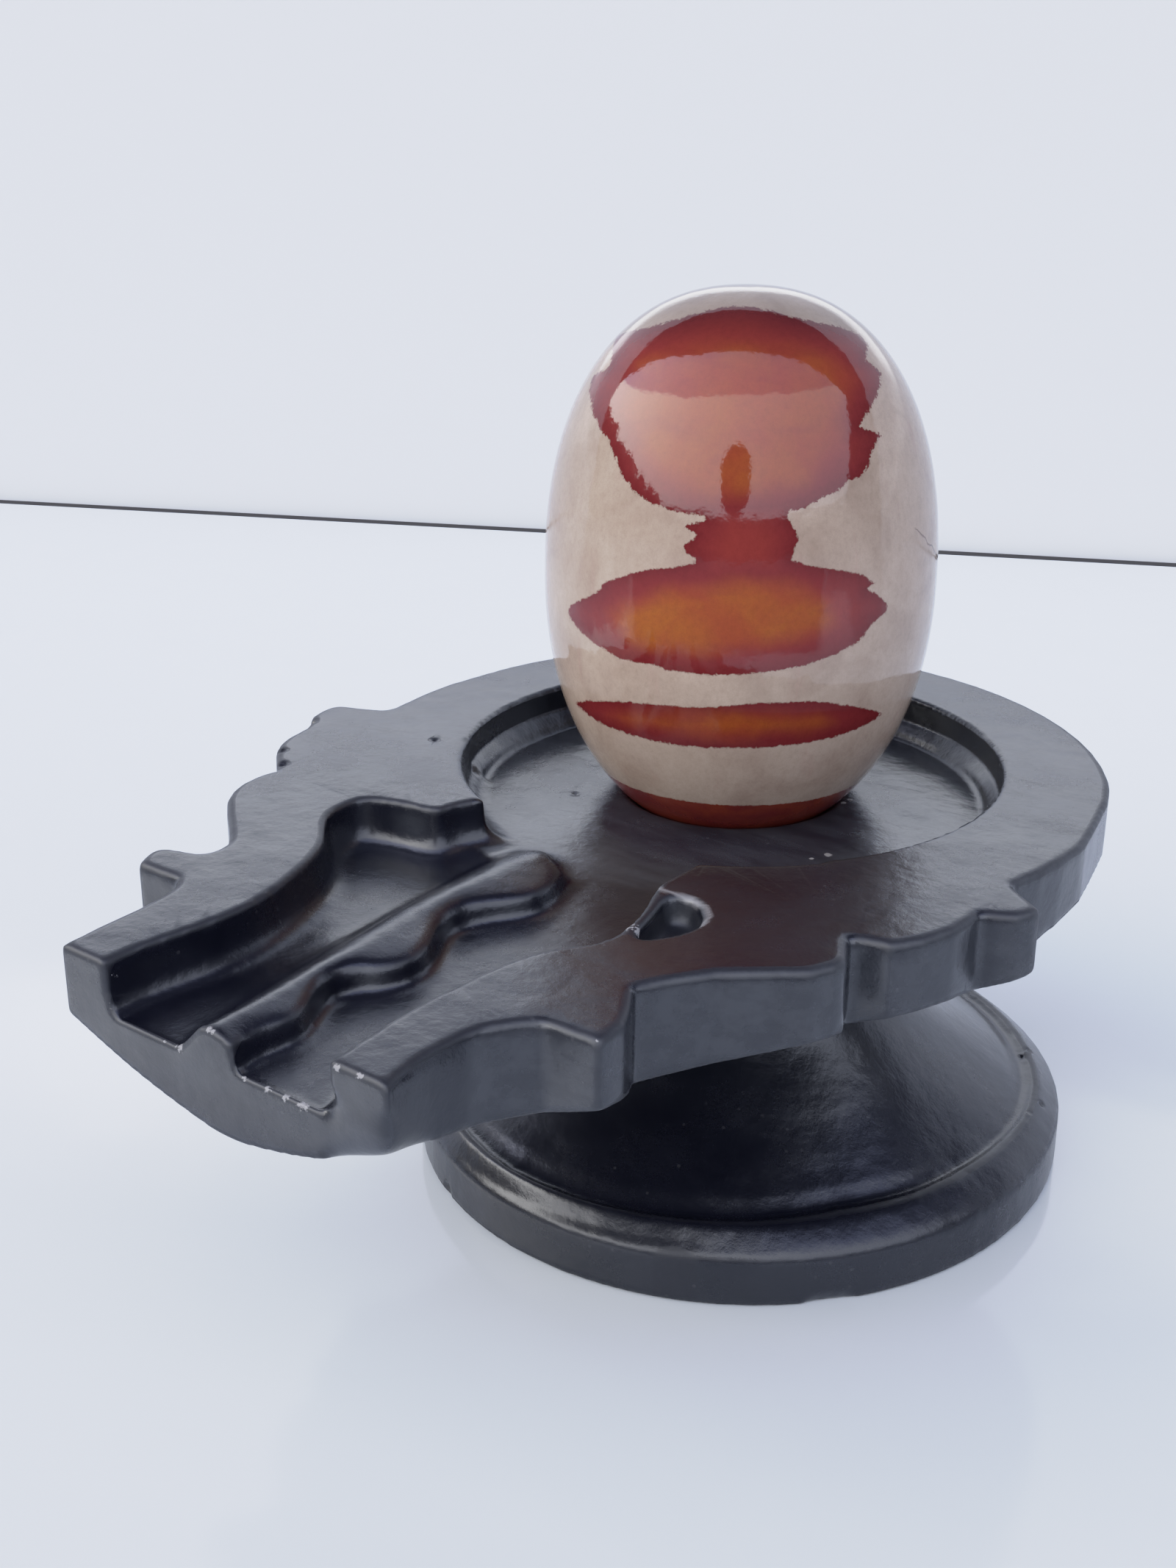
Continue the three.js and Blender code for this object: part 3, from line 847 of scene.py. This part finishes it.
def stone_material():
    """Polished jasper-like stone: cream with ragged red patches, orange hearts and a red foot"""
    material, shader, nodes = start_material("banded_polished_stone")
    place = nodes.place()
    fine = nodes.noise(place, scale=2.6, detail=4.0, roughness=0.65)
    grain = nodes.noise(place, scale=5.5, detail=3.0, roughness=0.7)
    cloud = nodes.noise(place, scale=0.12, detail=4.0, roughness=0.55, distortion=0.6)
    wander = border_wander(nodes, place, fine)
    red_depth = nodes.total(nodes.attribute("red_depth"), wander)
    band_depth = nodes.total(nodes.attribute("band_depth"), nodes.product(wander, 0.7))
    color = cream_color(nodes, place, cloud, grain)
    red = red_color(nodes, place, cloud, grain, red_depth)
    color = nodes.mix(nodes.step(red_depth, *MARKING_BORDER), color, red)
    band = nodes.mix(nodes.step(cloud, 0.35, 0.7, 0.1, 0.5), RED_RIM, ORANGE_DARK)
    color = nodes.mix(nodes.step(band_depth, *MARKING_BORDER), color, band)
    # Darker towards the top: painted shade
    color = nodes.mix(1.0, color, nodes.ramp(nodes.attribute("painted_top_shade"), STONE_TOP_SHADE_TINTS), "MULTIPLY")
    mottle = nodes.noise(nodes.stretch(place, 1, 1, 0.8), scale=1.3, detail=4.0, roughness=0.75)
    color = nodes.mix(1.0, color, nodes.ramp(mottle, STONE_MOTTLE), "MULTIPLY")
    color = nodes.mix(crack_share(nodes, fine), color, CRACK_COLOR)
    nodes.feed(shader.inputs["Base Color"], color)
    nodes.feed(shader.inputs["Roughness"], nodes.step(grain, 0.3, 0.8, *STONE_ROUGHNESS))
    shader.inputs["IOR"].default_value = STONE_IOR
    nodes.feed(shader.inputs["Normal"], nodes.bump(nodes.noise(place, scale=0.35), 0.00004))
    return material


def border_wander(nodes, place, fine):
    """How far the borders of the markings wander, more so in the upper half"""
    ragged = nodes.noise(nodes.stretch(place, 1, 1, 0.7), scale=0.9, detail=5.0, roughness=0.62)
    wander = nodes.total(nodes.centred(ragged, 0.7), nodes.centred(fine, 0.6))
    return nodes.product(wander, nodes.scaled(nodes.attribute("upper_share"), 0.8, 1.0))


def cream_color(nodes, place, cloud, grain):
    streak = nodes.noise(
        nodes.stretch(place, 1, 1, 0.12), scale=0.42, detail=4.0, roughness=0.6, distortion=0.3
    )
    cream = nodes.ramp(cloud, [(0.30, CREAM_DARK), (0.52, CREAM), (0.72, CREAM_PALE)])
    cream = nodes.mix(nodes.step(streak, 0.56, 0.74, 0, 0.5), cream, CREAM_PINK)
    return nodes.mix(nodes.step(grain, 0.35, 0.75, 0, 0.4), cream, CREAM_DARK)


def red_color(nodes, place, cloud, grain, red_depth):
    """Red that is darkest at its border, with an orange heart and faint level layers"""
    drift = nodes.noise(place, scale=0.16, detail=2.0)
    core_depth = nodes.total(nodes.attribute("core_depth"), nodes.centred(drift, 3.0))
    paler_above = nodes.scaled(nodes.attribute("upper_share"), -0.4, 1.0)
    heart = nodes.product(nodes.step(core_depth, -1.6, 2.2), paler_above)
    orange = nodes.ramp(cloud, [(0.35, ORANGE_DARK), (0.65, ORANGE)])
    red = nodes.ramp(nodes.product(red_depth, 0.2), [(0.0, RED_RIM), (0.28, RED_DEEP), (0.8, RED)])
    red = nodes.mix(heart, red, orange)
    red = nodes.mix(nodes.step(grain, 0.4, 0.8, 0, 0.25), red, RED_RIM)
    layers = nodes.noise(nodes.stretch(place, 0.25, 0.25, 1), scale=0.35)
    return nodes.mix(nodes.step(layers, 0.5, 0.7, 0, 0.3), red, RED_DEEP)


def crack_share(nodes, fine):
    offset = nodes.total(nodes.attribute("crack_offset"), nodes.centred(fine, 0.5))
    thin = nodes.step(nodes.math("ABSOLUTE", offset), 0.16, 0.05)
    return nodes.product(thin, nodes.attribute("crack_range"))


# ---------------------------------------------------------------- base


def remeshed_copy(node, name):
    rough = link(bpy.data.objects.new(name + "_rough", node.data.copy()))
    remesh = rough.modifiers.new("remesh", "REMESH")
    remesh.mode = "VOXEL"
    remesh.voxel_size = REMESH_SIZE * MM
    remesh.use_smooth_shade = True
    depsgraph = bpy.context.evaluated_depsgraph_get()
    mesh = bpy.data.meshes.new_from_object(rough.evaluated_get(depsgraph))
    mesh.name = name
    mesh.materials.clear()
    bpy.data.objects.remove(rough)
    return link(bpy.data.objects.new(name, mesh))


def edge_pairs(mesh):
    flat = np.empty(len(mesh.edges) * 2, dtype=np.int64)
    mesh.edges.foreach_get("vertices", flat)
    return flat.reshape(-1, 2)


def relax(points, pairs, rounds, share=RELAX_SHARE, keep=None):
    """Moves every point towards the mean of its neighbours; keep is a share per point that stays"""
    count = np.bincount(pairs.ravel(), minlength=len(points))[:, None]
    share = share if keep is None else share * (1 - keep)[:, None]
    for _ in range(rounds):
        total = np.zeros_like(points)
        for axis in range(3):
            total[:, axis] = (
                np.bincount(pairs[:, 0], points[pairs[:, 1], axis], len(points))
                + np.bincount(pairs[:, 1], points[pairs[:, 0], axis], len(points))
            )
        points = points + share * (total / count - points)
    return points


def soften(points, pairs, rounds):
    """Relaxes and swells in turn, so that small steps go and corners stay in place"""
    for _ in range(rounds):
        points = relax(points, pairs, 1)
        points = relax(points, pairs, 1, SWELL_SHARE)
    return points


def box_share(points, low, high, fade):
    """1 inside a box and 0 outside it, with a soft border"""
    share = np.ones(len(points))
    for axis in range(3):
        share *= smooth_step(points[:, axis], low[axis] - fade, low[axis])
        share *= 1 - smooth_step(points[:, axis], high[axis], high[axis] + fade)
    return share


def scale_from(centre, points, factor):
    """Scales points away from an upright axis"""
    for axis in range(2):
        points[:, axis] = centre[axis] + (points[:, axis] - centre[axis]) * factor


def shape_cone(points):
    """The pedestal's cone and waist as a true turned surface"""
    profile = curve_through(CONE_PROFILE)
    order = np.argsort(profile[:, 1])
    radius = distance_from(CONE_CENTRE, points)
    height = points[:, 2]
    wanted = np.interp(height, profile[order, 1], profile[order, 0])
    weight = (np.abs(radius - wanted) < CONE_REACH) * smooth_step(height, *CONE_START)
    weight = weight * (1 - smooth_step(height, *CONE_END))
    scale_from(CONE_CENTRE, points, 1 + weight * (wanted / np.maximum(radius, 1e-6) - 1))


def shape_hull(points, normals):
    """The tray's bowl-shaped underside as a smooth surface"""
    plan = curve_through(HULL_PLAN, closed=True) - (0, HULL_CENTRE_Y)
    angle = np.arctan2(plan[:, 1], plan[:, 0])
    reach = np.hypot(plan[:, 1], plan[:, 0])
    order = np.argsort(angle)
    x = points[:, 0]
    y = points[:, 1] - HULL_CENTRE_Y
    rim = np.interp(np.arctan2(y, x), angle[order], reach[order], period=2 * math.pi)
    share = np.clip(np.hypot(x, y) / rim, 0, 1)
    wanted = HULL_RIM_Z - HULL_DEPTH * (1 - share**HULL_SQUARENESS) ** HULL_ROUNDNESS
    weight = (np.abs(points[:, 2] - wanted) < HULL_REACH) * smooth_step(-normals[:, 2], *HULL_FACING)
    points[:, 2] += weight * (wanted - points[:, 2])


def round_turned(points, centre, weight):
    """Pushes the flat facets about a centre out to a true circle, where weight is 1"""
    step = 2 * math.pi / TURN_SEGMENTS
    angle = np.arctan2(points[:, 1] - centre[1], points[:, 0] - centre[0])
    offset = np.mod(angle - math.radians(TURN_START), step) - step / 2
    stretch = np.cos(offset) / math.cos(step / 2)
    scale_from(centre, points, 1 + weight * (stretch - 1))


def round_basin(points):
    radius = distance_from((0, 0), points)
    inner, outer = BASIN_ROUND_RADII
    round_turned(points, (0, 0), (radius > inner) * (radius < outer) * (points[:, 2] > BASIN_LOWEST))


def round_foot(points):
    round_turned(points, FOOT_CENTRE, 1 - smooth_step(points[:, 2], *FOOT_TOP))


def wave_groove(points):
    """Lets the bead and groove on the foot wander as they were cut by hand"""
    heading = np.degrees(np.arctan2(points[:, 1] - CONE_CENTRE[1], points[:, 0] - CONE_CENTRE[0]))
    angles, shifts = np.array(GROOVE_WAVE).T
    shift = np.interp(heading, angles, shifts, period=360)
    radius = distance_from(CONE_CENTRE, points)
    inside = GROOVE_RADIUS - radius
    reach = np.where(inside > 0, inside / GROOVE_REACH_INWARDS, -inside / GROOVE_REACH_OUTWARDS)
    near = np.clip(1 - reach, 0, 1) * smooth_step(points[:, 2], *GROOVE_START)
    near *= 1 - smooth_step(points[:, 2], *GROOVE_END)
    scale_from(CONE_CENTRE, points, 1 + near * shift / np.maximum(radius, 1))


def smooth_carving(points, pairs):
    """Softens the edges, and rounds the recess and the corner under the spout's end further"""
    points = soften(points, pairs, SOFTEN_ROUNDS)
    recess = box_share(points, *RECESS_BOX, RECESS_FADE)
    points = relax(points, pairs, RECESS_ROUNDS, keep=1 - recess)
    under_corner = box_share(points, *UNDER_CORNER_BOX, UNDER_CORNER_FADE)
    points = relax(points, pairs, UNDER_CORNER_ROUNDS, keep=1 - under_corner)
    return relax(points, pairs, LAST_ROUNDS)


def shape_basin(points):
    """The basin's wall and its sloping ledge, with crisp edges"""
    radius = distance_from((0, 0), points)
    heading = np.degrees(np.arctan2(points[:, 1], points[:, 0]))
    from_mouth = np.abs((heading - BASIN_MOUTH + 180) % 360 - 180)
    wanted, distance = nearest_on_line(BASIN_WALL, radius, points[:, 2])
    inner, outer = BASIN_WALL_RADII
    near = (distance < BASIN_WALL_REACH) * (radius > inner) * (radius < outer)
    near = near * (points[:, 2] > BASIN_WALL_LOWEST)
    weight = near * smooth_step(from_mouth, BASIN_MOUTH_HALF, BASIN_MOUTH_HALF + BASIN_MOUTH_FADE)
    scale_from((0, 0), points, 1 + weight * (wanted[:, 0] / np.maximum(radius, 1) - 1))
    points[:, 2] += weight * (wanted[:, 1] - points[:, 2])


def dent(points, normals):
    """Presses small dents into the surface"""
    for x, y, z, radius, depth in DENTS:
        reach = np.linalg.norm(points - (x, y, z), axis=1) / radius
        share = np.clip(1 - reach**2, 0, 1) ** 2
        points -= normals * (share * depth)[:, None]


def cad_limits(node):
    low, high = (np.array(corner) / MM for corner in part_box(node.name))
    return low + CAD_MARGIN, high - CAD_MARGIN


def edge_share(points, normals, pairs):
    """How far each point stands on an outer edge, 0 to 1, and less on the crisp lip of the basin"""
    proud = ((points - relax(points, pairs, EDGE_ROUNDS)) * normals).sum(axis=1)
    on_lip = (distance_from((0, 0), points) < BASIN_LIP_RADIUS) * (points[:, 2] > BASIN_LOWEST)
    return smooth_step(proud, *EDGE_PROUD) * np.where(on_lip, BASIN_LIP_EDGE, 1)


def flat_share(points, normals, pairs):
    """How flat the surface is around each point, 0 to 1, and 0 in the small pocket"""
    bend = 1 - (normals[pairs[:, 0]] * normals[pairs[:, 1]]).sum(axis=1)
    bend = np.bincount(pairs[:, 0], bend, len(normals)) + np.bincount(pairs[:, 1], bend, len(normals))
    bend = relax(np.repeat(bend[:, None], 3, axis=1), pairs, FLAT_ROUNDS)[:, 0]
    off_pocket = smooth_step(distance_from(POCKET_CENTRE, points), *POCKET_DENSE_RADIUS)
    return (1 - smooth_step(bend, *FLAT_BEND)) * off_pocket


def thin_out(piece, flat, triangles):
    """Merges points where the surface is flat, down to a number of triangles"""
    count = sum(len(face.vertices) - 2 for face in piece.data.polygons)
    group = piece.vertex_groups.new(name="flat")
    levels = np.round(flat * FLAT_LEVELS).astype(int)
    for level in range(1, FLAT_LEVELS + 1):
        group.add(np.flatnonzero(levels == level).tolist(), level / FLAT_LEVELS, "REPLACE")
    decimate = piece.modifiers.new("thin", "DECIMATE")
    decimate.ratio = min(1.0, triangles / count)
    decimate.vertex_group = "flat"
    decimate.vertex_group_factor = 1.0
    depsgraph = bpy.context.evaluated_depsgraph_get()
    mesh = bpy.data.meshes.new_from_object(piece.evaluated_get(depsgraph))
    piece.modifiers.clear()
    dense = piece.data
    piece.data = mesh
    bpy.data.meshes.remove(dense)


def mark_base(mesh):
    """Stores where the black stone has a pale film of painted sheen and dust, where its edges have pale
    chipped spots and painted glints, and where the pocket's rim has a painted highlight
    """
    points = read_points(mesh)
    height = points[:, 2]
    # Pale film on the basin floor: painted sheen
    in_basin = 1 - smooth_step(distance_from((0, 0), points), *BASIN_FLOOR_RADIUS)
    on_floor = (1 - smooth_step(height, *BASIN_FLOOR_TOP)) * (height > TRAY_UNDERSIDE_Z)
    store_attribute(mesh, "basin_painted_sheen", in_basin * on_floor)
    # Pale film on the outward sides: partly dust, partly painted sheen
    outward = points[:, :2] - (0, HULL_CENTRE_Y)
    outward /= np.maximum(np.linalg.norm(outward, axis=1), 1)[:, None]
    facing = (outward * read_normals(mesh)[:, :2]).sum(axis=1)
    side = smooth_step(facing, *SIDE_FACING) * smooth_step(height, *SIDE_START)
    store_attribute(mesh, "side_dust_and_sheen", SIDE_DUST_AND_SHEEN * side)
    near_top = smooth_step(height, *POCKET_TOP)
    in_pocket = 1 - smooth_step(distance_from(POCKET_CENTRE, points), *POCKET_RADIUS)
    store_attribute(mesh, "pocket", in_pocket * (1 - near_top))
    # Pale line along the pocket's rim: painted highlight
    from_lip = nearest_on_line(POCKET_LIP, points[:, 0], points[:, 1])[1]
    store_attribute(mesh, "lip", (1 - smooth_step(from_lip, *LIP_HIGHLIGHT_REACH)) * near_top)
    # Pale spots on the edges: chipped stone and painted glints
    chip_and_glint = np.zeros(len(points))
    for x, y, z, reach in CHIPS_AND_GLINTS:
        distance = np.linalg.norm(points - (x, y, z), axis=1)
        chip_and_glint = np.maximum(chip_and_glint, np.clip(1 - distance / reach, 0, 1))
    store_attribute(mesh, "chip_and_glint", chip_and_glint)


def make_base(node):
    base = remeshed_copy(node, "yoni_base_carved")
    mesh = base.data
    pairs = edge_pairs(mesh)
    points = read_points(mesh)
    shape_cone(points)
    shape_hull(points, read_normals(mesh))
    round_basin(points)
    round_foot(points)
    wave_groove(points)
    points = smooth_carving(points, pairs)
    shape_basin(points)
    write_points(mesh, points)
    dent(points, read_normals(mesh))
    points[:, 1] = np.maximum(points[:, 1], SPOUT_END_Y)
    write_points(mesh, np.clip(points, *cad_limits(node)))
    normals = read_normals(mesh)
    store_attribute(mesh, "edge", edge_share(points, normals, pairs))
    thin_out(base, flat_share(points, normals, pairs), BASE_TRIANGLES)
    mark_base(base.data)
    base.data.shade_smooth()
    base.data.materials.append(black_material())
    return base


def black_material():
    """Black soapstone, oiled and rubbed to a satin shine"""
    material, shader, nodes = start_material("black_satin_stone")
    place = nodes.place()
    cloud = nodes.noise(place, scale=0.06, detail=4.0, roughness=0.6)
    grain = nodes.noise(place, scale=2.2, detail=4.0, roughness=0.65)
    # Pale spots: chipped stone and painted glints, joined by the painted highlight on the pocket's rim
    chips_and_glints = nodes.step(nodes.total(nodes.attribute("chip_and_glint"), nodes.centred(grain, 1.4)), 0.62, 0.74)
    chips_and_glints = nodes.largest(chips_and_glints, nodes.product(nodes.attribute("lip"), LIP_HIGHLIGHT_SHARE))
    nodes.feed(shader.inputs["Base Color"], black_color(nodes, place, cloud, grain, chips_and_glints))
    polish = nodes.total(nodes.step(cloud, 0.3, 0.7, *BLACK_ROUGHNESS), nodes.product(grain, 0.08))
    worn = nodes.product(nodes.attribute("edge"), EDGE_ROUGHNESS)
    unpolished = nodes.product(nodes.attribute("pocket"), POCKET_ROUGHNESS)
    rough = nodes.largest(polish, worn, unpolished, nodes.product(chips_and_glints, CHIP_AND_GLINT_ROUGHNESS))
    nodes.feed(shader.inputs["Roughness"], rough)
    shader.inputs["IOR"].default_value = BLACK_IOR
    shader.inputs["Specular Tint"].default_value = (*BLACK_SHINE, 1)
    hand_polish = nodes.bump(nodes.noise(place, scale=0.13), 0.0003)
    nodes.feed(shader.inputs["Normal"], nodes.bump(grain, 0.00003, under=hand_polish))
    return material


def black_color(nodes, place, cloud, grain, chips_and_glints):
    """Cloudy black with a brushed pale film of dust and painted sheen, pale specks, pale chipped spots with
    painted glints and a painted highlight on the pocket's rim, and pale specks where the stone meets the
    basin floor
    """
    color = nodes.ramp(cloud, [(0.3, BLACK_DEEP), (0.7, BLACK_PALE)])
    strokes = nodes.noise(nodes.stretch(place, 0.25, 1, 1), scale=0.35, detail=4.0, roughness=0.6)
    # Pale brushed film: painted sheen in the basin, dust and painted sheen on the sides
    dust_and_sheen = nodes.largest(nodes.attribute("basin_painted_sheen"), nodes.attribute("side_dust_and_sheen"))
    color = nodes.mix(nodes.product(dust_and_sheen, nodes.step(strokes, 0.3, 0.7, 0.4, 1.0)), color, BLACK_DUST_AND_SHEEN)
    specks = nodes.product(nodes.step(nodes.cells(place, 0.45), 0.13, 0.09), nodes.step(cloud, 0.5, 0.56))
    color = nodes.mix(nodes.product(specks, SPECK_SHARE), color, SPECK_CHIP_AND_GLINT_GREY)
    # Pale chipped spots, painted glints and the painted highlight on the pocket's rim
    color = nodes.mix(chips_and_glints, color, SPECK_CHIP_AND_GLINT_GREY)
    # Pale specks where the stone meets the basin floor
    basin_specks = nodes.product(near_any(nodes, place, grain, BASIN_SPECKS), BASIN_SPECK_SHARE)
    return nodes.mix(basin_specks, color, BASIN_SPECK_COLOR)


def near_any(nodes, place, grain, spots):
    """1 close to any of the spots, with a ragged border"""
    reaches = []
    for x, y, z, radius in spots:
        distance = nodes.vector("DISTANCE", place, (x, y, z), output="Value")
        reaches.append(nodes.math("DIVIDE", distance, radius))
    closest = nodes.chain("MINIMUM", reaches)
    return nodes.step(nodes.total(closest, nodes.centred(grain, 1.6)), 1.0, 0.8)


# ---------------------------------------------------------------- assembly


def stand_for(piece, node_name):
    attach(piece, "root")
    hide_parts(node_name)


def main():
    make_camera()
    make_stage()
    make_light()
    make_tone()
    stand_for(make_base(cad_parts[BASE_NODE]), BASE_NODE)
    stand_for(make_stone(), STONE_NODE)


main()
